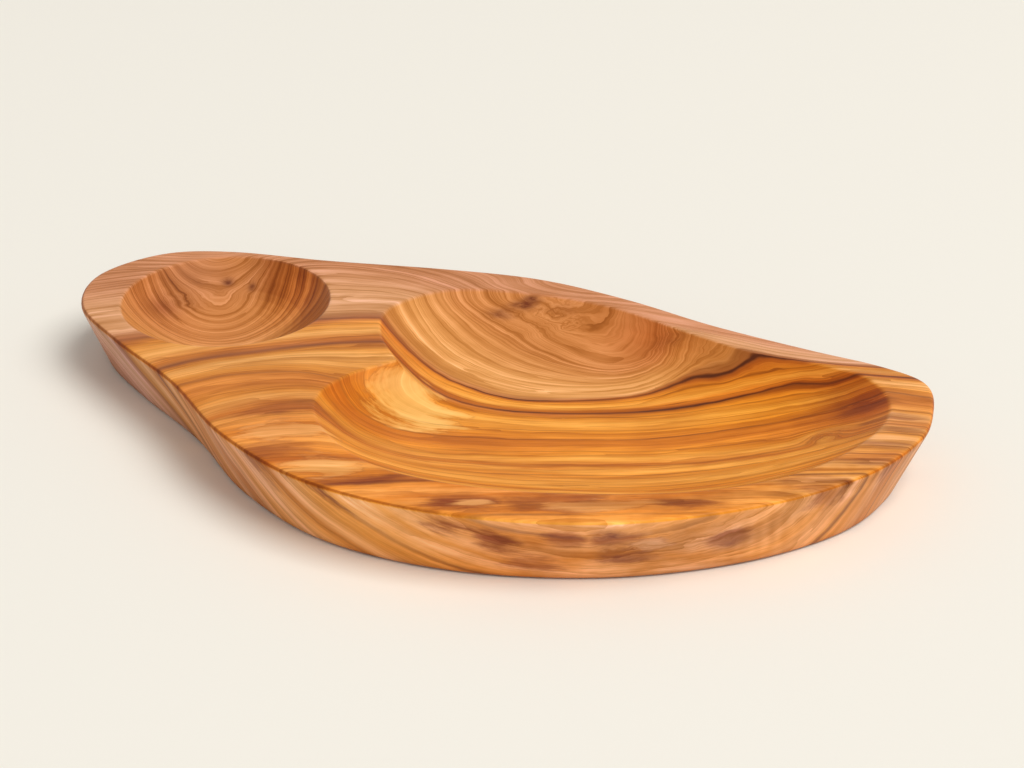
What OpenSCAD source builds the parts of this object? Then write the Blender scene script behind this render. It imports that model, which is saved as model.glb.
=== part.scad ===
// Olive dish carved from one board of olive wood.
// A small round hollow takes stones or a dip, and a larger heart-shaped hollow takes the olives.

/* [Board] */
// Overall length
dish_l = 301.2; // [260:0.2:340]
// Overall width at the heart-shaped hollow
dish_w = 163.5; // [140:0.5:190]
// Thickness of the planed board
board_h = 24.5; // [18:0.5:32]
// How far the side wall leans in on its way down to the underside
wall_lean = 7.6; // [3:0.2:10]
// Radius of the sanded top outer edge
top_ease_r = 1.2; // [0.8:0.1:3.5]
// Radius of the sanded underside edge
base_ease_r = 1.5; // [0.6:0.1:3]

/* [Small hollow] */
// Radius of the small hollow at the top face
dip_r = 36.7; // [30:0.1:42]
// Wood left under the small hollow
dip_floor_t = 9; // [5:0.5:13]
// Top land between the small hollow and the narrow end
dip_land = 15.8; // [10:0.2:20]
// How far the small hollow lies behind the middle of the board
dip_off = 13.7; // [8:0.1:20]

/* [Heart hollow] */
// Wood left under the heart-shaped hollow
heart_floor_t = 9.5; // [5:0.5:13]
// Top land between the two hollows, where it is narrowest along the board
bridge_land = 17; // [12:0.2:24]
// Top land at the wide end
end_land = 13.6; // [10:0.2:18]
// Top land at the back side
back_land = 9.6; // [6:0.2:13]
// Top land at the front side
front_land = 17.8; // [13:0.2:24]
// Fullness of the hollow's section: 2 is a plain round bowl, more is a flatter floor with steeper sides
heart_full = 4; // [2.4:0.1:5]

/* [Hidden] */
$fn = 128;

// Points drawn on each span of a curve, steps round each eased edge, and levels down the hollow
outline_steps = 8;
rim_steps = 6;
top_steps = 5;
base_steps = 3;
levels = 13;
// Spacing of the levels, closer together towards the rim
level_pitch = 1.35;
// How far the cuts stand above the top face
over = 3;

// Places that the sizes above fix
dip_x = dip_land + dip_r - dish_l / 2;
dip_depth = board_h - dip_floor_t;
dip_ball_r = (dip_r * dip_r + dip_depth * dip_depth) / (2 * dip_depth);
heart_depth = board_h - heart_floor_t;
heart_x0 = dip_x + dip_r + bridge_land;
heart_x1 = dish_l / 2 - end_land;
heart_y0 = front_land - dish_w / 2;
heart_y1 = dish_w / 2 - back_land;
heart_l = heart_x1 - heart_x0;
heart_w = heart_y1 - heart_y0;

// The wide part's outline, counter-clockwise from the waist at the front to the waist at the back:
// shares of the length from the heart's left side to the wide end, of half the width, and of the wall's lean
wide_shares = [
    [0.002, -0.836, 1.02], [0.207, -0.992, 0.91], [0.437, -0.955, 0.95], [0.667, -0.740, 1.10],
    [0.846, -0.382, 1.02], [0.958, 0.013, 1.05], [0.998, 0.368, 1.32], [0.984, 0.631, 1.40],
    [0.943, 0.833, 1.30], [0.857, 0.895, 1.12], [0.719, 0.900, 1.00], [0.539, 0.923, 1.00],
    [0.360, 0.985, 1.00], [0.181, 0.992, 1.00], [0.002, 0.889, 1.00]
];
// The narrow end round the small hollow: directions in degrees, the land there as a share of the land
// at the end, and the share of the wall's lean
narrow_turns = [73, 121, 153, 184, 213, 250, 288];
narrow_shares = [
    [0.71, 1.00], [0.33, 1.00], [0.74, 1.00], [1.00, 0.95], [0.84, 1.23], [0.60, 1.18], [1.68, 1.12]
];
// The heart's rim, counter-clockwise from its cusp and back to it: shares of its length and width
heart_shares = [
    [0.127, 0.480], [0.078, 0.353], [0.075, 0.214], [0.156, 0.087], [0.305, 0.002],
    [0.497, 0.034], [0.690, 0.143], [0.844, 0.280], [0.948, 0.456], [0.997, 0.655],
    [0.990, 0.816], [0.921, 0.927], [0.816, 0.944], [0.690, 0.931], [0.552, 0.956],
    [0.371, 0.999], [0.195, 0.969], [0.057, 0.886], [0.000, 0.728], [0.041, 0.592],
    [0.127, 0.480]
];
// The deepest point of the heart, and the oval that its floor draws towards, with its turn in degrees
deep_shares = [0.47, 0.56];
floor_shares = [0.46, 0.40];
floor_turn = 14;

// A smooth curve through points, span by span
function span(a, b, c, d, t) =
    ((d - 3 * c + 3 * b - a) * t * t * t + (2 * a - 5 * b + 4 * c - d) * t * t + (c - a) * t + 2 * b) / 2;
function closed_curve(p, steps) = [
    for (i = [0 : len(p) - 1], k = [0 : steps - 1])
        span(p[(i + len(p) - 1) % len(p)], p[i], p[(i + 1) % len(p)], p[(i + 2) % len(p)], k / steps)
];
// The same from the first point to the last, which is left out, with a corner there
function cusped_curve(p, steps) = [
    for (i = [0 : len(p) - 2], k = [0 : steps - 1])
        span(i > 0 ? p[i - 1] : 2 * p[0] - p[1], p[i], p[i + 1],
             i < len(p) - 2 ? p[i + 2] : 2 * p[i + 1] - p[i], k / steps)
];
// Directions that point out of a counter-clockwise curve
function outward(c) = [
    for (i = [0 : len(c) - 1])
        let (d = c[(i + 1) % len(c)] - c[(i + len(c) - 1) % len(c)]) [d[1], -d[0]] / norm([d[0], d[1]])
];

// Outline of the dish where it is widest, just under the top edge
wide_points = [
    for (s = wide_shares) [heart_x0 + s[0] * (dish_l / 2 - heart_x0), s[1] * dish_w / 2, s[2] * wall_lean]
];
narrow_points = [
    for (i = [0 : len(narrow_turns) - 1])
        let (a = narrow_turns[i], reach = dip_r + narrow_shares[i][0] * dip_land)
            [dip_x + reach * cos(a), dip_off + reach * sin(a), narrow_shares[i][1] * wall_lean]
];
outline = closed_curve(concat(wide_points, narrow_points), outline_steps);
outline_out = outward(outline);

// Section of the side wall from the underside up: how far in from the outline, and how high
function wall_section(lean) =
    let (wall_top = board_h - top_ease_r * (1 + sin(lean)),
         wall_low = base_ease_r * (1 - sin(lean)),
         base_in = top_ease_r * (1 - cos(lean)) + (wall_top - wall_low) * tan(lean) + base_ease_r * cos(lean))
        concat(
            [
                for (k = [0 : base_steps])
                    let (a = -90 + k / base_steps * (90 - lean))
                        [base_in - base_ease_r * cos(a), base_ease_r * (1 + sin(a))]
            ],
            [
                for (k = [0 : top_steps])
                    let (a = -lean + k / top_steps * (90 + lean))
                        [top_ease_r * (1 - cos(a)), board_h - top_ease_r * (1 - sin(a))]
            ]
        );
wall_sections = [for (p = outline) wall_section(atan(p[2] / board_h))];

// Rim and deepest point of the heart-shaped hollow
heart_rim = cusped_curve([for (s = heart_shares) [heart_x0 + s[0] * heart_l, heart_y0 + s[1] * heart_w]], rim_steps);
deep_point = [heart_x0 + deep_shares[0] * heart_l, heart_y0 + deep_shares[1] * heart_w];
// Reach of the floor's oval in a direction
function floor_reach(turn) =
    let (a = floor_shares[0] * heart_l, b = floor_shares[1] * heart_w)
        a * b / norm([b * cos(turn - floor_turn), a * sin(turn - floor_turn)]);
// One level of the hollow: the rim drawn in by a share, and towards the oval as it goes down
function heart_level(drawn_share) = [
    for (p = heart_rim)
        let (v = p - deep_point,
             reach = norm(v) * (1 - drawn_share) + floor_reach(atan2(v[1], v[0])) * drawn_share)
            deep_point + v / norm(v) * reach * (1 - drawn_share)
];
function heart_drop(drawn_share) = heart_depth * (1 - pow(1 - drawn_share, heart_full));

// A solid through rings of points, lowest first, closed by a low and a high point
module loft(rings, low, high) {
    n = len(rings[0]);
    m = len(rings);
    polyhedron(
        points = concat([low], [for (r = rings, p = r) p], [high]),
        faces = concat(
            [for (i = [0 : n - 1]) [0, 1 + i, 1 + (i + 1) % n]],
            [
                for (j = [0 : m - 2], i = [0 : n - 1])
                    let (a = 1 + j * n + i, b = 1 + j * n + (i + 1) % n)
                        each [[a, a + n, b], [b, a + n, b + n]]
            ],
            [for (i = [0 : n - 1]) [1 + m * n, 1 + (m - 1) * n + (i + 1) % n, 1 + (m - 1) * n + i]]
        )
    );
}

// The board with its leaning, eased side wall
module board() {
    loft(
        [
            for (k = [0 : base_steps + top_steps + 1])
                [
                    for (i = [0 : len(outline) - 1])
                        let (s = wall_sections[i][k], p = outline[i], o = outline_out[i])
                            [p[0] - s[0] * o[0], p[1] - s[0] * o[1], s[1]]
                ]
        ],
        [0, 0, 0],
        [0, 0, board_h]
    );
}

// The small hollow, part of a ball
module dip_cut() {
    translate([dip_x, dip_off, board_h - dip_depth + dip_ball_r]) sphere(r = dip_ball_r);
}

// The heart-shaped hollow, drawn from its rim down to its floor
module heart_cut() {
    loft(
        concat(
            [
                for (k = [levels - 1 : -1 : 0])
                    let (t = pow(k / levels, level_pitch))
                        [for (p = heart_level(t)) [p[0], p[1], board_h - heart_drop(t)]]
            ],
            [[for (p = heart_rim) [p[0], p[1], board_h + over]]]
        ),
        [deep_point[0], deep_point[1], board_h - heart_depth],
        [deep_point[0], deep_point[1], board_h + over]
    );
}

// The dish, one piece of wood
module dish() {
    color([0.80, 0.55, 0.30])
        difference() {
            board();
            dip_cut();
            heart_cut();
        }
}

dish();
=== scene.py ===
import math
import bpy
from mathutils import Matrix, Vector


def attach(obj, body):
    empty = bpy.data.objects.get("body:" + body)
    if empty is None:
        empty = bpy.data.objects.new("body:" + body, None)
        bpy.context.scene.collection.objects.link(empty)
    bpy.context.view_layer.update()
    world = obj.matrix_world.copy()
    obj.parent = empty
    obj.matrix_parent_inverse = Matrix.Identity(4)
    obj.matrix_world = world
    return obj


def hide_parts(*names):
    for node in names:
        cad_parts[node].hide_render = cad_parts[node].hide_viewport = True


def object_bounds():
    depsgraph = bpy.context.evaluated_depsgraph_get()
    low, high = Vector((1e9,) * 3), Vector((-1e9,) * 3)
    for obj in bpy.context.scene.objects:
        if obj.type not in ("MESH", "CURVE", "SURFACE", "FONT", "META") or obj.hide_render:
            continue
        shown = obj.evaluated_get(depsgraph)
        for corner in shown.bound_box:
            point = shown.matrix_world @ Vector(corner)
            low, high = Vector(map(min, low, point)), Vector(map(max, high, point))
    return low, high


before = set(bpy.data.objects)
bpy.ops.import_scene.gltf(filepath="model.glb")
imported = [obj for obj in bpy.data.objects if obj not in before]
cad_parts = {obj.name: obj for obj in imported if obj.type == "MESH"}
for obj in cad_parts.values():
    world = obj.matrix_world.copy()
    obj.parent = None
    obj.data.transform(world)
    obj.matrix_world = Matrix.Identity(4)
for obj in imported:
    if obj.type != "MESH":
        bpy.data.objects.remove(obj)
cad_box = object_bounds()
scene = bpy.context.scene
scene.view_settings.view_transform = "Standard"


# The dish: one piece of olive wood, cut from a planed board, with a small round hollow and a larger
# heart-shaped one carved into its top. The rims are softened by sanding, and the wood is oiled.
merge_gap = 0.00001
dish_voxel = 0.00045
sanding_passes = 6
sanding_strength = 0.5
triangle_limit = 190000

cad_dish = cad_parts["dish"]
bpy.ops.object.select_all(action="DESELECT")
dish = bpy.data.objects.new("olive_dish", cad_dish.data.copy())
scene.collection.objects.link(dish)
dish.select_set(True)
bpy.context.view_layer.objects.active = dish
bpy.ops.object.mode_set(mode="EDIT")
bpy.ops.mesh.select_all(action="SELECT")
bpy.ops.mesh.remove_doubles(threshold=merge_gap)
bpy.ops.object.mode_set(mode="OBJECT")
even_skin = dish.modifiers.new("even_skin", "REMESH")
even_skin.mode = "VOXEL"
even_skin.voxel_size = dish_voxel
bpy.ops.object.modifier_apply(modifier=even_skin.name)
sanding = dish.modifiers.new("sanding", "SMOOTH")
sanding.factor = sanding_strength
sanding.iterations = sanding_passes
bpy.ops.object.modifier_apply(modifier=sanding.name)
thinning = dish.modifiers.new("thinning", "DECIMATE")
thinning.ratio = triangle_limit / (2 * len(dish.data.polygons))
bpy.ops.object.modifier_apply(modifier=thinning.name)
bpy.ops.object.shade_smooth()
flat_faces = dish.modifiers.new("flat_faces", "WEIGHTED_NORMAL")
bpy.ops.object.modifier_apply(modifier=flat_faces.name)

# The grain runs along the board at a slant. All lengths below are millimetres in the grain's own
# directions: along it, across it towards the back, and down from the top face.
mm_per_m = 1000
grain_turn = math.radians(28)
grain_start = (20.6, 4.0)
board_h = (cad_box[1][2] - cad_box[0][2]) * mm_per_m
# Growth rings lean: each runs forward as it goes down, less so over this span towards the wide end, and
# further at the back of the board than at its front
ring_lean = 1.12
ring_lean_far_end = 0.40
ring_lean_span = (30, 115)
ring_fan = 0.008
# Rings that show as strong lines: a level for each, and where it runs in the top face, along and across
along_reach = 145
across_low = -120
across_high = 160
ring_guides = [
    (150, [(-145, 150), (145, 150)]),
    (100, [(-145, 82), (-110, 97), (-75, 105), (-45, 96), (-10, 80), (30, 57), (70, 39), (100, 28),
           (145, 22)]),
    (62, [(-145, 52), (-110, 61), (-75, 68), (-50, 68), (-20, 58), (10, 48), (55, 41), (75, 31), (95, 22),
          (145, 16)]),
    (48, [(-145, 30), (-110, 40), (-80, 47), (-50, 51), (-20, 46), (10, 38), (50, 38), (75, 26), (100, 16),
          (145, 9)]),
    (30, [(-145, -14), (-110, 14), (-85, 23), (-50, 30), (-20, 31), (10, 28), (50, 26), (85, 18), (110, 8),
          (145, 2)]),
    (8, [(-145, -35), (-110, 0), (-75, 10), (-45, 3), (-10, 8), (30, 8), (65, 7), (105, -1), (145, -11)]),
    (-10, [(-145, -50), (-110, -32), (-90, -15), (-65, -8), (-45, -16), (-10, -9), (20, -5), (60, -9),
           (100, -17), (145, -28)]),
    (-66, [(-145, -78), (-50, -67), (50, -63), (145, -58)]),
    (-110, [(-145, -110), (145, -110)]),
]
# Colours of the wood, and the bands they make from ring to ring
rose = (0.81, 0.51, 0.28)
tan = (0.88, 0.60, 0.34)
straw = (0.95, 0.63, 0.26)
honey = (0.90, 0.54, 0.15)
amber = (0.83, 0.46, 0.12)
chestnut = (0.71, 0.36, 0.12)
bands = [
    (-105, amber), (-97, straw), (-92, amber), (-87, straw), (-82, honey), (-78, straw), (-73, honey),
    (-69, straw), (-64, honey), (-60, honey), (-54, straw), (-48, amber), (-44, honey), (-37, straw),
    (-28, honey), (-22, straw), (-18, amber), (-10, straw), (-6, honey), (0, amber),
    (6, amber), (13, honey), (22, straw), (26, honey), (30, chestnut), (34, amber),
    (38, straw), (43, honey), (47, chestnut), (52, tan), (66, tan), (90, rose),
]
# How far the bands drift to and fro across the rings, at the front and at the back
band_drift_front = 26.0
band_drift_back = 9.0
# Thin dark lines: the level of each, half its width, and how dark it is as a share
veins = [
    (-84, 1.2, 0.5), (-64, 1.6, 0.6), (-47, 0.9, 0.4), (-27, 0.7, 0.5), (-18, 1.4, 0.35), (-5, 0.7, 0.3),
    (7, 1.0, 0.6), (15, 0.7, 0.35), (26.5, 0.7, 0.4), (30.6, 2.6, 0.45), (30.5, 1.3, 0.75), (34.5, 0.6, 0.4),
    (43, 0.7, 0.4), (47.6, 2.4, 0.40), (47.2, 1.1, 0.75), (50, 2.2, 0.3),
]
vein_brown = (0.36, 0.17, 0.08)
# They are faint at the narrow end, and strong past the middle of the board
vein_faint = 0.5
vein_span = (-35, 5)
# Rings for each millimetre, broad ones all over and fine ones towards the back: how unevenly they lie, how
# sharply each ends, and how dark and pale they go
broad_rings = 0.13
broad_shuffle = 5.0
broad_sharpness = 2.0
broad_dark = 0.30
broad_pale = 1.10
fine_rings = 0.42
fine_shuffle = 9.0
fine_sharpness = 4.0
fine_pale = 1.01
packed_from = 86
packed_more = 1.5
# Knots and burls: a place along, across and down, a reach each way, how far the rings bulge round it,
# how much they swirl, and how brown it is as a share
knots = [
    ((-106, 90, 7), (12, 10, 9), 0.0, 2.5, 0.05),
    ((-108, 108, -2), (30, 20, 8), 22.0, 0.0, 0.0),
    ((-118, 81, 8), (8, 4, 4), 0.0, 6.0, 0.25),
    ((-103, 93, 6.6), (2.0, 1.7, 1.8), 1.0, 0.0, 0.95),
    ((-94, 91, 7.7), (1.4, 2.2, 2.2), 1.0, 0.0, 0.75),
    ((14, 72, 0), (40, 11, 9), 10.0, 0.0, 0.0),
    ((14, 61, 4), (15, 9, 5), 0.0, 12.0, 0.06),
    ((7, 67, 1.5), (3.2, 3, 1.6), 0.0, 5.0, 1.0),
    ((3, 65.5, 3.2), (4, 3, 1.3), 0.0, 5.0, 0.9),
    ((-4, 63, 5), (5, 3, 1.6), 0.0, 5.0, 0.7),
    ((18, 63, 2.5), (7, 4, 2), 0.0, 6.0, 0.22),
    ((112, -3, 9), (15, 13, 7), 0.0, 2.0, 0.20),
    ((100, -20, 8), (7, 5, 5), -7.0, 12.0, 0.35),
    ((34, -85, 9), (14, 10, 8), 0.0, 7.0, 0.06),
    ((29, -86, 5), (4.5, 6, 2.2), 0.0, 4.0, 0.70),
    ((28, -84, 10), (2.5, 6, 3), 0.0, 4.0, 0.30),
    ((33, -82, 15.7), (7, 8, 1.8), 0.0, 4.0, 0.50),
    ((65, -76, 14), (4, 6, 2.4), 0.0, 5.0, 0.45),
    ((60, -80, 7), (12, 8, 7), 0.0, 5.0, 0.0),
    ((54, 39, 3), (11, 3, 5), 0.0, 3.0, 0.30),
]
knot_brown = (0.45, 0.21, 0.11)
# Dark patches of burl with ragged edges: a place along the grain, a ring and a depth, a reach each way,
# and how dark as a share
dark_patches = [
    ((-74, -17, 0), (14, 4, 9), 0.6),
    ((-77, -43, 0), (13, 6, 9), 0.75),
    ((-41, -62, 0), (21, 3.5, 8), 1.0),
    ((-15, -77, 0), (12, 5.5, 9), 1.0),
    ((14, -77, 0), (17, 5.5, 8), 0.9),
    ((51, -79, 0), (10, 3, 8), 0.8),
    ((90, -68, 0), (12, 4, 8), 0.8),
    ((114, -39, 0), (11, 3, 8), 0.6),
    ((120, -10, 0), (12, 2.5, 8), 0.6),
    ((124, -24, 0), (10, 2.5, 8), 0.6),
    ((112, -54, 0), (10, 3, 8), 0.6),
    ((-5, -79, 9), (9, 4, 8), 1.0),
    ((5, -73, 18), (10, 4, 7), 1.0),
    ((16, -83, 7), (7, 3, 5), 0.9),
    ((31, -83, 7), (9, 5, 5), 0.9),
    ((34, -77, 15), (12, 5, 4), 0.9),
    ((64, -77, 13), (8, 4, 5), 0.8),
    ((92, -71, 3), (11, 4, 6), 0.7),
    ((-77, 88, 2), (4, 3, 5), 0.7),
    ((-72, 81, 3), (4, 2.5, 5), 0.6),
    ((114, 3, 4), (12, 5, 5), 0.7),
]
burl_brown = (0.60, 0.29, 0.09)
# Pale patches of young wood with a thin dark line round them, in the same way
pale_patches = [
    ((-31, 18, 9), (16, 11, 9), 1.0),
    ((-70, -31, 0), (14, 5, 4), 0.65),
    ((-57, -52, 0), (11, 6, 4), 0.65),
    ((-12, -77.5, 0), (6, 2, 2), 0.9),
    ((27, -79, 0), (15, 3.5, 4), 0.6),
    ((41, -80, 11), (7, 4, 5), 0.35),
]
young_wood = (0.98, 0.73, 0.41)
pale_calm = 0.5
patch_line = 0.28
patch_line_at = 0.12
patch_line_width = 0.11
# Parts where the streaks are weak, or strong if the share is below nothing: a place, a reach each way,
# and how weak as a share
calm_tone = 1.04
calm_places = [
    ((-125, 80, 5), (12, 14, 8), -0.6),
    ((-78, 84, 6), (12, 20, 10), -0.6),
    ((114, -5, 8), (24, 24, 9), -0.7),
    ((98, -55, 0), (25, 22, 6), -0.7),
    ((112, -52, 15), (26, 40, 12), 0.60),
    ((-45, -66, 15), (34, 30, 12), 0.45),
    ((-115, -5, 14), (28, 40, 14), 0.45),
]
# How much more the green and the blue of the wood darken than its red
tone_powers = (0.85, 1.20, 2.10)
# Parts that took up more oil or less, and patches of painted light and shade: the bluer patches on the sides
# paint light bounced up from the table, and the dark patch at the right end of the large hollow paints the
# shade on that wall. For each: the surface, a place, a reach each way, and the tint
oil_and_painted_light_patches = [
    ("hollow", (-76, 84, 6), (13, 22, 12), (1.62, 1.64, 1.10, 1.0)),
    ("hollow", (-120, 88, 5), (14, 14, 9), (0.86, 0.86, 0.95, 1.0)),
    ("hollow", (-100, 95, 6), (18, 13, 9), (0.86, 0.83, 0.88, 1.0)),
    ("hollow", (118, -4, 6), (15, 26, 11), (0.57, 0.33, 0.08, 1.0)),
    ("hollow", (52, 42, 4), (22, 15, 9), (0.88, 0.69, 0.50, 1.0)),
    ("hollow", (82, 5, 9), (28, 18, 9), (0.92, 0.85, 0.50, 1.0)),
    ("hollow", (20, -32, 13), (60, 14, 8), (0.93, 0.88, 0.80, 1.0)),
    ("hollow", (-56, -10, 3), (14, 18, 9), (1.0, 1.0, 0.75, 1.0)),
    ("hollow", (-124, 75, 8), (6, 5, 4), (0.62, 0.50, 0.46, 1.0)),
    ("top", (-142, 65, 0), (22, 30, 10), (0.88, 0.86, 0.82, 1.0)),
    ("hollow", (-104, 80, 6), (40, 40, 20), (1.0, 1.03, 1.12, 1.0)),
    ("top", (-85, 5, 0), (40, 40, 10), (0.87, 0.90, 1.06, 1.0)),
    ("top", (5, -72, 0), (60, 14, 10), (0.91, 0.81, 0.88, 1.0)),
    ("top", (112, -32, 0), (36, 40, 10), (0.93, 0.98, 1.52, 1.0)),
    ("top", (-72, -32, 0), (18, 18, 10), (0.99, 0.90, 0.84, 1.0)),
    ("side", (-45, -66, 10), (30, 30, 20), (1.06, 1.11, 1.24, 1.0)),
    ("side", (5, -82, 12), (28, 20, 20), (0.95, 0.84, 0.83, 1.0)),
    ("side", (60, -78, 12), (26, 20, 20), (0.87, 0.86, 1.10, 1.0)),
    ("side", (112, -52, 10), (24, 40, 25), (0.92, 0.91, 1.18, 1.0)),
    ("side", (-92, -36, 10), (24, 30, 20), (0.99, 1.0, 1.40, 1.0)),
    ("side", (-132, 10, 10), (24, 40, 25), (0.91, 1.01, 1.36, 1.0)),
]
# Ripple figure: short bars across the grain, low at the front right
bar_pitch = 4.4
bar_depth = 0.09
bar_waver = 4.0
bar_place = (77, -71, 14)
bar_reach = (12, 14, 8)
# The oiled hollows are the deepest in colour, and darker still where they cut across the grain: partly
# because the ends of the fibres soak up the oil, and partly as painted shade on the end walls of the
# hollows. The top is paler and bluer, which paints the sheen of its oiled face; the sides are more so, which
# paints light bounced up onto them from the table.
top_sheen_tint = (1.00, 1.10, 1.62, 1.0)
top_tint_front = (0.96, 0.91, 0.95, 1.0)
side_bounce_tint = (1.04, 1.27, 3.10, 1.0)
side_bounce_tint_back = (1.00, 1.15, 1.90, 1.0)
side_end_tint = (0.84, 0.85, 0.95, 1.0)
side_end_span = (0.40, 0.80)
# Painted contact shadow: the sides darken towards the foot
foot_painted_shade = (0.62, 0.48, 0.42, 1.0)
foot_shade_span = (21.0, 24.5)
end_grain_and_shade_tint = (0.80, 0.66, 0.50, 1.0)
hollow_tint = (1.02, 1.06, 1.00, 1.0)
end_grain_and_shade_span = (0.15, 0.60)
edge_tint = (0.55, 0.42, 0.34, 1.0)
hollow_span = (0.1, 0.7)

wood = bpy.data.materials.new("olive_wood")
wood.use_nodes = True
wood_nodes = wood.node_tree.nodes
wood_links = wood.node_tree.links
finish = wood_nodes["Principled BSDF"]


def linear(colour):
    """A colour as it looks, turned into the light values that the shader takes."""
    return [c / 12.92 if c <= 0.04045 else ((c + 0.055) / 1.055) ** 2.4 for c in colour] + [1.0]


def wood_node(kind, inputs, **settings):
    """One node of the wood's material, with its inputs set or linked. Returns its first output."""
    made = wood_nodes.new("ShaderNode" + kind)
    for name, value in settings.items():
        setattr(made, name, value)
    for socket, value in inputs.items():
        if isinstance(value, bpy.types.NodeSocket):
            wood_links.new(value, made.inputs[socket])
        else:
            made.inputs[socket].default_value = value
    return made.outputs[0]


def wood_sum(operation, *values):
    """A sum done on single values."""
    return wood_node("Math", dict(enumerate(values)), operation=operation)


def wood_noise(vector, stretch, detail, roughness):
    """Noise with its own fineness along each direction, from 0 to 1."""
    spot = wood_node("VectorMath", {0: vector, 1: stretch}, operation="MULTIPLY")
    return wood_node("TexNoise", {"Vector": spot, "Scale": 1.0, "Detail": detail, "Roughness": roughness})


def graded(value, span, to=(0.0, 1.0), smooth=False):
    """A value that goes from one end of a span to the other, turned into one that goes between two ends."""
    return wood_node("MapRange", {"Value": value, 1: span[0], 2: span[1], 3: to[0], 4: to[1]},
                     interpolation_type="SMOOTHSTEP" if smooth else "LINEAR")


def mixed(share, first, second, blend="MIX"):
    """A share of the second colour laid over the first."""
    return wood_node("MixRGB", {"Fac": share, "Color1": first, "Color2": second}, blend_type=blend)


def times(first, second):
    """Two values multiplied."""
    return wood_sum("MULTIPLY", first, second)


def rest_of(share):
    """What a share leaves over from 1."""
    return wood_sum("SUBTRACT", 1.0, share)


# Places in the grain
turned = (math.cos(grain_turn), math.sin(grain_turn))
place = wood_nodes.new("ShaderNodeTexCoord").outputs["Object"]
grain = wood_node("Mapping", {
    "Vector": place,
    "Location": (-grain_start[0] * turned[0] - grain_start[1] * turned[1],
                 grain_start[0] * turned[1] - grain_start[1] * turned[0],
                 board_h),
    "Rotation": (0, 0, -grain_turn),
    "Scale": (mm_per_m, mm_per_m, -mm_per_m),
})
split = wood_nodes.new("ShaderNodeSeparateXYZ")
wood_links.new(grain, split.inputs[0])
along, across, down = split.outputs

# Noise is 0.5 on average, and most of it lies in this span
noise_middle = 0.5
noise_span = (0.3, 0.7)

# The rings wander a little on the small scale
waver_size = 2.5
waver = wood_noise(grain, (0.02, 0.05, 0.05), detail=2.0, roughness=0.5)
waver = wood_sum("MULTIPLY_ADD", waver, waver_size, -waver_size / 2)
ripple_size = 0.8
ripple = wood_noise(grain, (0.06, 0.2, 0.2), detail=2.0, roughness=0.5)
ripple = wood_sum("MULTIPLY_ADD", ripple, ripple_size, -ripple_size / 2)
wandered = wood_sum("ADD", across, wood_sum("ADD", waver, ripple))

# The rings bulge and swirl round the knots
swirls = wood_noise(grain, (0.09, 0.14, 0.14), detail=3.0, roughness=0.55)
swirls = wood_sum("SUBTRACT", swirls, noise_middle)


def nearness(centre, reach, spot=grain):
    """How near a spot in the grain is to a centre: 1 there, and falling to nothing past the reach."""
    offset = wood_node("VectorMath", {0: spot, 1: centre}, operation="SUBTRACT")
    offset = wood_node("VectorMath", {0: offset, 1: reach}, operation="DIVIDE")
    squared = wood_node("VectorMath", {0: offset, 1: offset}, operation="DOT_PRODUCT").node.outputs["Value"]
    return wood_sum("POWER", math.exp(-1), squared)


stain = 0.0
for centre, reach, bulge, swirl, brown in knots:
    near = nearness(centre, reach)
    turn = wood_sum("MULTIPLY_ADD", swirls, swirl, bulge)
    wandered = wood_sum("MULTIPLY_ADD", near, turn, wandered)
    stain = wood_sum("MULTIPLY_ADD", near, brown, stain)
patchy = wood_noise(grain, (0.14, 0.35, 0.35), detail=4.0, roughness=0.6)
patchy = graded(patchy, span=(0.35, 0.60), to=(0.45, 1.10))
stain = times(stain, patchy)

# Where the ring through this place meets the top face
lean = graded(along, span=ring_lean_span, to=(ring_lean, ring_lean_far_end), smooth=True)
meets_top = wood_sum("DIVIDE", wood_sum("MULTIPLY_ADD", lean, down, wandered),
                     wood_sum("MULTIPLY_ADD", down, -ring_fan, 1.0))
across_span = across_high - across_low
across_share = wood_sum("MULTIPLY_ADD", meets_top, 1 / across_span, -across_low / across_span)
along_share = wood_sum("MULTIPLY_ADD", along, 0.5 / along_reach, 0.5)

# The guide rings as curves, and the level of every ring between them
guide_lines = []
for level, points in ring_guides:
    guide = wood_nodes.new("ShaderNodeFloatCurve")
    wood_links.new(along_share, guide.inputs["Value"])
    curve = guide.mapping.curves[0]
    shares = [((x + along_reach) / (2 * along_reach), (y - across_low) / across_span) for x, y in points]
    curve.points[0].location = shares[0]
    curve.points[1].location = shares[-1]
    for share in shares[1:-1]:
        curve.points.new(*share)
    for point in curve.points:
        point.handle_type = "AUTO_CLAMPED"
    guide.mapping.update()
    guide_lines.append((level, guide.outputs[0]))
front_level = ring_guides[-1][0]
back_level = ring_guides[0][0]
ring = front_level
for (high, high_line), (low, low_line) in zip(guide_lines, guide_lines[1:]):
    step = graded(across_share, span=(low_line, high_line), to=(0.0, float(high - low)))
    ring = wood_sum("ADD", step, ring)

# The rings lie closer together towards the back
past = wood_sum("MAXIMUM", wood_sum("SUBTRACT", ring, packed_from), 0.0)
packed = wood_sum("MULTIPLY_ADD", past, packed_more, ring)
ring_place = wood_node("CombineXYZ", {0: along, 1: packed, 2: 0.0})

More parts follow.
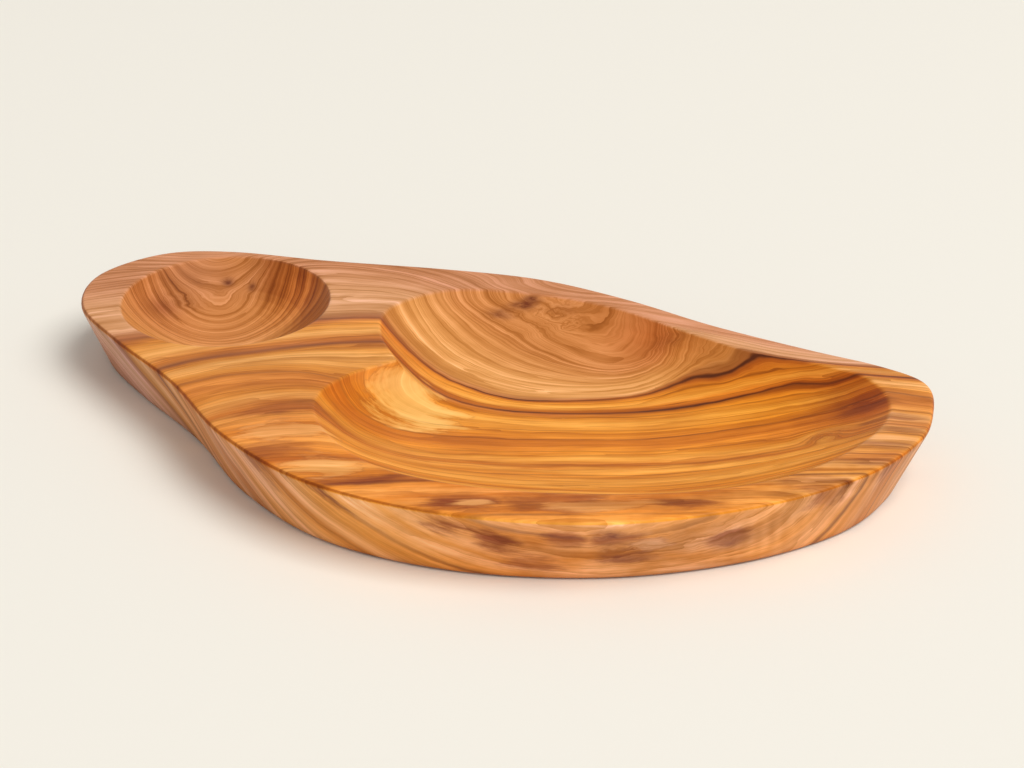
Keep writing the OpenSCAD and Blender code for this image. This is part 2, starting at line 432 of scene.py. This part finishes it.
# Bands of colour from ring to ring, which drift as they run along the board
drift = wood_noise(ring_place, (0.016, 0.05, 1.0), detail=5.0, roughness=0.55)
band_drift = graded(ring, span=(-20.0, 10.0), to=(band_drift_front, band_drift_back))
drifted = wood_sum("MULTIPLY_ADD", wood_sum("SUBTRACT", drift, noise_middle), band_drift, ring)
band_share = wood_sum("MULTIPLY_ADD", drifted, 1 / (back_level - front_level),
                      -front_level / (back_level - front_level))
band_ramp = wood_nodes.new("ShaderNodeValToRGB")
wood_links.new(band_share, band_ramp.inputs["Fac"])
band_stops = band_ramp.color_ramp.elements
band_stops.remove(band_stops[1])
for number, (level, colour) in enumerate(bands):
    position = (level - front_level) / (back_level - front_level)
    stop = band_stops[0] if number == 0 else band_stops.new(position)
    stop.position = position
    stop.color = linear(colour)
colour = band_ramp.outputs["Color"]
calm = 0.0
for centre, reach, share in calm_places:
    calm = wood_sum("MULTIPLY_ADD", nearness(centre, reach), share, calm)
colour = mixed(calm, colour, linear(honey))

# Patches with ragged edges, drawn out along the rings
ring_spot = wood_node("CombineXYZ", {0: along, 1: ring, 2: down})
ragged_size = 2.0
patch_hold = 4.0
patch_span = (0.16, 0.72)
ragged = wood_noise(ring_spot, (0.045, 0.24, 0.14), detail=5.0, roughness=0.6)
ragged = wood_sum("MULTIPLY_ADD", ragged, ragged_size, -ragged_size / 2)


def patch_share(places):
    """How much of the patch colour shows at a place: ragged at the edge, and none far from the patch."""
    most = 0.0
    for centre, reach, share in places:
        near = nearness(centre, reach, ring_spot)
        loose = wood_node("Math", {0: near, 1: patch_hold}, operation="MULTIPLY", use_clamp=True)
        depth = wood_sum("MULTIPLY_ADD", ragged, loose, near)
        inside = graded(depth, span=patch_span, to=(0.0, share), smooth=True)
        most = wood_sum("MAXIMUM", inside, most)
    return most


streaky = wood_noise(ring_spot, (0.030, 0.32, 0.03), detail=4.0, roughness=0.6)
streaky = graded(streaky, span=(0.35, 0.60), to=(0.40, 1.0))
burl = times(patch_share(dark_patches), streaky)
colour = mixed(burl, colour, linear(burl_brown))
pale = patch_share(pale_patches)
colour = mixed(pale, colour, linear(young_wood))
from_line = wood_sum("ABSOLUTE", wood_sum("SUBTRACT", pale, patch_line_at))
outline = graded(from_line, span=(0.0, patch_line_width), to=(patch_line, 0.0))
colour = mixed(outline, colour, linear(burl_brown))

# Streaks along every ring, broad and fine, and a slow change of tone over the board
broad = wood_noise(ring_place, (0.010, 0.16, 1.0), detail=4.0, roughness=0.6)
broad_tone = graded(broad, span=noise_span, to=(0.67, 1.29))
fine = wood_noise(ring_place, (0.016, 0.85, 1.0), detail=4.0, roughness=0.65)
fine_tone = graded(fine, span=noise_span, to=(0.85, 1.14))
cloud = wood_noise(grain, (0.025, 0.05, 0.05), detail=3.0, roughness=0.55)
cloud_tone = graded(cloud, span=noise_span, to=(0.86, 1.14))
mottle = wood_noise(grain, (0.07, 0.10, 0.13), detail=3.0, roughness=0.6)
mottle_depth = graded(ring, span=(-45.0, -70.0), to=(0.0, 0.8))
mottle_tone = wood_sum("MULTIPLY_ADD", wood_sum("SUBTRACT", mottle, noise_middle), mottle_depth, 1.0)
cloud_tone = times(cloud_tone, mottle_tone)
tone = times(times(broad_tone, fine_tone), cloud_tone)

# Hair lines at uneven distances, which come and go
hair_width = 0.03
hair_dark = 0.17
hair = wood_noise(ring_place, (0.006, 0.22, 1.0), detail=3.0, roughness=0.6)
from_hair = wood_sum("ABSOLUTE", wood_sum("SUBTRACT", hair, noise_middle))
clear = wood_noise(ring_place, (0.014, 0.10, 1.0), detail=3.0, roughness=0.55)
clear = graded(clear, span=(0.42, 0.62))
hair_depth = graded(from_hair, span=(0.0, hair_width), to=(hair_dark, 0.0))
tone = times(tone, rest_of(times(hair_depth, clear)))

# Rings: each darkens slowly towards its outer edge, and stops there
shuffle = wood_noise(ring_place, (0.007, 0.035, 1.0), detail=4.0, roughness=0.55)
broad_turns = wood_sum("MULTIPLY_ADD", packed, broad_rings, times(shuffle, broad_shuffle))
late_wood = wood_sum("POWER", wood_sum("FRACT", broad_turns), broad_sharpness)
tone = times(tone, wood_sum("MULTIPLY_ADD", late_wood, -broad_dark, broad_pale))
fine_turns = wood_sum("MULTIPLY_ADD", packed, fine_rings, times(shuffle, fine_shuffle))
late_wood = wood_sum("POWER", wood_sum("FRACT", fine_turns), fine_sharpness)
fine_depth = graded(ring, span=(40.0, 60.0), to=(0.02, 0.20))
late_wood = times(times(late_wood, clear), fine_depth)
tone = times(tone, wood_sum("SUBTRACT", fine_pale, late_wood))

# Ripple bars, and fibres and pores as fine flecks along the grain
bar_turns = wood_sum("MULTIPLY_ADD", along, 2 * math.pi / bar_pitch, times(swirls, bar_waver))
bars = wood_sum("SINE", bar_turns)
bar_share = times(nearness(bar_place, bar_reach), bar_depth)
tone = times(tone, wood_sum("MULTIPLY_ADD", bars, bar_share, 1.0))
fibres = wood_noise(ring_place, (0.035, 2.4, 1.0), detail=2.0, roughness=0.6)
fibre_tone = graded(fibres, span=noise_span, to=(0.90, 1.10))
tone = times(tone, fibre_tone)
pores = wood_noise(ring_place, (0.10, 2.0, 1.0), detail=1.0, roughness=0.5)
pore_depth = graded(pores, span=(0.62, 0.74), to=(0.0, 0.22))
tone = times(tone, rest_of(pore_depth))
calm = wood_sum("MULTIPLY_ADD", pale, pale_calm, calm)
tone = wood_sum("MULTIPLY_ADD", wood_sum("SUBTRACT", calm_tone, tone), calm, tone)

# Darker wood is deeper in colour as well
deep_tone = wood_node("CombineXYZ", {channel: wood_sum("POWER", tone, power)
                                     for channel, power in enumerate(tone_powers)})
colour = wood_node("VectorMath", {0: colour, 1: deep_tone}, operation="MULTIPLY")

# The thin dark lines that come and go along the board, then the brown of the knots
fading = wood_noise(ring_place, (0.022, 0.08, 1.0), detail=2.0, roughness=0.5)
fading = graded(fading, span=(0.3, 0.55), to=(0.40, 1.0))
darkness = 0.0
for level, half_width, depth in veins:
    away = wood_sum("ABSOLUTE", wood_sum("SUBTRACT", ring, level))
    line = graded(away, span=(0.0, half_width), to=(depth, 0.0), smooth=True)
    darkness = wood_sum("ADD", line, darkness)
inner = graded(along, span=vein_span, to=(vein_faint, 1.0), smooth=True)
darkness = times(times(darkness, fading), inner)
colour = mixed(darkness, colour, linear(vein_brown))
colour = mixed(stain, colour, linear(knot_brown))

# Painted light on the surfaces: paler and bluer on the top, which paints its sheen, and more so on the
# sides, which paints light bounced up from the table
facing = wood_nodes.new("ShaderNodeSeparateXYZ")
wood_links.new(place.node.outputs["Normal"], facing.inputs[0])
sideways = graded(facing.outputs["Z"], span=(0.3, 0.0))
shallow = graded(down, span=hollow_span, to=(1.0, 0.0))
on_top = times(shallow, rest_of(sideways))
facing_along = wood_sum("MULTIPLY_ADD", facing.outputs["X"], turned[0],
                        times(facing.outputs["Y"], turned[1]))
across_fibres = wood_sum("ABSOLUTE", facing_along)
# Darker where the hollows cut across the grain: partly the end grain soaking up oil, partly painted shade on
# the end walls of the hollows
end_grain_and_shade = graded(across_fibres, span=end_grain_and_shade_span)
in_hollow = times(rest_of(shallow), rest_of(sideways))
colour = mixed(in_hollow, colour, hollow_tint, "MULTIPLY")
colour = mixed(times(end_grain_and_shade, in_hollow), colour, end_grain_and_shade_tint, "MULTIPLY")
surfaces = {"hollow": in_hollow, "top": on_top, "side": sideways}
# Oil patches, and patches of painted bounced light and painted shade
for surface, centre, reach, tint in oil_and_painted_light_patches:
    oil_and_painted_light = times(nearness(centre, reach), surfaces[surface])
    colour = mixed(oil_and_painted_light, colour, tint, "MULTIPLY")
# Painted sheen: the top is made paler and bluer towards the back and the wide end
towards_back = graded(ring, span=(-30.0, 20.0))
towards_end = graded(along, span=(50.0, 100.0))
top_tint_and_sheen = mixed(wood_sum("MAXIMUM", towards_back, towards_end), top_tint_front, top_sheen_tint)
colour = mixed(on_top, colour, top_tint_and_sheen, "MULTIPLY")
# Painted light: the sides are made paler and bluer for the light bounced onto them from the table, less so
# at the back
far_back = graded(ring, span=(36.0, 56.0))
side_bounce_light = mixed(far_back, side_bounce_tint, side_bounce_tint_back)
colour = mixed(sideways, colour, side_bounce_light, "MULTIPLY")
side_end = graded(across_fibres, span=side_end_span)
colour = mixed(times(side_end, sideways), colour, side_end_tint, "MULTIPLY")
# Painted shade: the sides darken towards the foot, where the table's contact shadow falls
foot_shade = graded(down, span=foot_shade_span)
foot_shade = times(times(foot_shade, foot_shade), sideways)
colour = mixed(foot_shade, colour, foot_painted_shade, "MULTIPLY")

# The top edge is darker along the front left, on the rounding that faces left
edge = graded(facing.outputs["Z"], span=(0.25, 0.5))
edge = times(edge, graded(facing.outputs["Z"], span=(0.85, 0.98), to=(1.0, 0.0)))
to_left = graded(facing_along, span=(-0.04, -0.25))
left_half = graded(along, span=(-30.0, 0.0), to=(1.0, 0.0))
edge = times(edge, times(to_left, left_half))
colour = mixed(edge, colour, edge_tint, "MULTIPLY")

wood_links.new(colour, finish.inputs["Base Color"])

# Oiled satin finish: streaks and pores make it a little uneven
dull_and_bright = (0.46, 0.36)
pore_drop = 2.0
relief_strength = 0.25
relief_depth = 0.0002
roughness = graded(fine, span=noise_span, to=dull_and_bright)
wood_links.new(roughness, finish.inputs["Roughness"])
grain_height = wood_sum("SUBTRACT", fine, times(pore_depth, pore_drop))
relief = wood_node("Bump", {"Strength": relief_strength, "Distance": relief_depth, "Height": grain_height})
wood_links.new(relief, finish.inputs["Normal"])
oil_ior = 1.5
oil_gloss = 0.12
finish.inputs["IOR"].default_value = oil_ior
finish.inputs["Specular IOR Level"].default_value = oil_gloss
dish.data.materials.clear()
dish.data.materials.append(wood)
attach(dish, "root")
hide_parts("dish")


# The table: a plain cream sheet under the dish, wide enough to fill the view.
floor_size = 8.0
floor_gap = 0.0002
cream = (0.955, 0.935, 0.89)
floor_roughness = 0.9
floor_gloss = 0.1
bpy.ops.object.select_all(action="DESELECT")
bpy.ops.mesh.primitive_plane_add(size=floor_size, location=(0, 0, -floor_gap))
floor = bpy.context.object
floor.name = "table"
bpy.ops.object.transform_apply(location=True)
floor_paint = bpy.data.materials.new("cream_table")
floor_paint.use_nodes = True
floor_finish = floor_paint.node_tree.nodes["Principled BSDF"]
floor_finish.inputs["Base Color"].default_value = linear(cream)
floor_finish.inputs["Roughness"].default_value = floor_roughness
floor_finish.inputs["Specular IOR Level"].default_value = floor_gloss
floor.data.materials.append(floor_paint)


# The studio: a wide soft lamp high at the right, another low behind the camera, and a little light from
# all round. The lamps stand far off, so that the table is lit evenly.
fill_level = 0.375
lamp_size = 5.9
lamps = [
    ("high_lamp", 635.0, (4.13, -2.38, 7.63)),
    ("low_lamp", 100.0, (0.0, -8.34, 3.37)),
]
world = bpy.data.worlds.new("studio")
scene.world = world
world.use_nodes = True
world_nodes = world.node_tree.nodes
world_links = world.node_tree.links
fill = world_nodes["Background"]
fill.inputs["Color"].default_value = (1, 1, 1, 1)
fill.inputs["Strength"].default_value = fill_level
backdrop = world_nodes.new("ShaderNodeBackground")
backdrop.inputs["Color"].default_value = linear(cream)
backdrop.inputs["Strength"].default_value = 1.0
rays = world_nodes.new("ShaderNodeLightPath")
seen = world_nodes.new("ShaderNodeMath")
seen.operation = "MAXIMUM"
world_links.new(rays.outputs["Is Camera Ray"], seen.inputs[0])
world_links.new(rays.outputs["Is Transmission Ray"], seen.inputs[1])
seen_or_mirrored = world_nodes.new("ShaderNodeMath")
seen_or_mirrored.operation = "MAXIMUM"
world_links.new(seen.outputs[0], seen_or_mirrored.inputs[0])
world_links.new(rays.outputs["Is Glossy Ray"], seen_or_mirrored.inputs[1])
choice = world_nodes.new("ShaderNodeMixShader")
world_links.new(seen_or_mirrored.outputs[0], choice.inputs["Fac"])
world_links.new(fill.outputs[0], choice.inputs[1])
world_links.new(backdrop.outputs[0], choice.inputs[2])
world_links.new(choice.outputs[0], world_nodes["World Output"].inputs["Surface"])

view_turn = grain_turn
view_right = Vector((math.cos(view_turn), math.sin(view_turn), 0))
view_away = Vector((-math.sin(view_turn), math.cos(view_turn), 0))
for lamp_name, lamp_power, (to_right, to_back, up) in lamps:
    lamp_place = view_right * to_right + view_away * to_back + Vector((0, 0, up))
    bpy.ops.object.light_add(type="AREA", location=lamp_place)
    lamp = bpy.context.object
    lamp.name = lamp_name
    lamp.data.shape = "SQUARE"
    lamp.data.size = lamp_size
    lamp.data.energy = lamp_power
    lamp.rotation_euler = lamp_place.to_track_quat("Z", "Y").to_euler()


# The camera: a long lens a little above the table, turned to the front right of the dish.
view_tilt = math.radians(27.4)
view_distance = 0.7478
view_target = Vector((0.02058, 0.00401, 0.0245))
lens_px = 2300
frame_px = 1024
camera_data = bpy.data.cameras.new("camera")
camera_data.sensor_fit = "HORIZONTAL"
camera_data.sensor_width = 36
camera_data.lens = lens_px / frame_px * camera_data.sensor_width
camera = bpy.data.objects.new("camera", camera_data)
scene.collection.objects.link(camera)
view_back = -view_away * math.cos(view_tilt) + Vector((0, 0, math.sin(view_tilt)))
camera.location = view_target + view_back * view_distance
camera.rotation_euler = view_back.to_track_quat("Z", "Y").to_euler()
scene.camera = camera
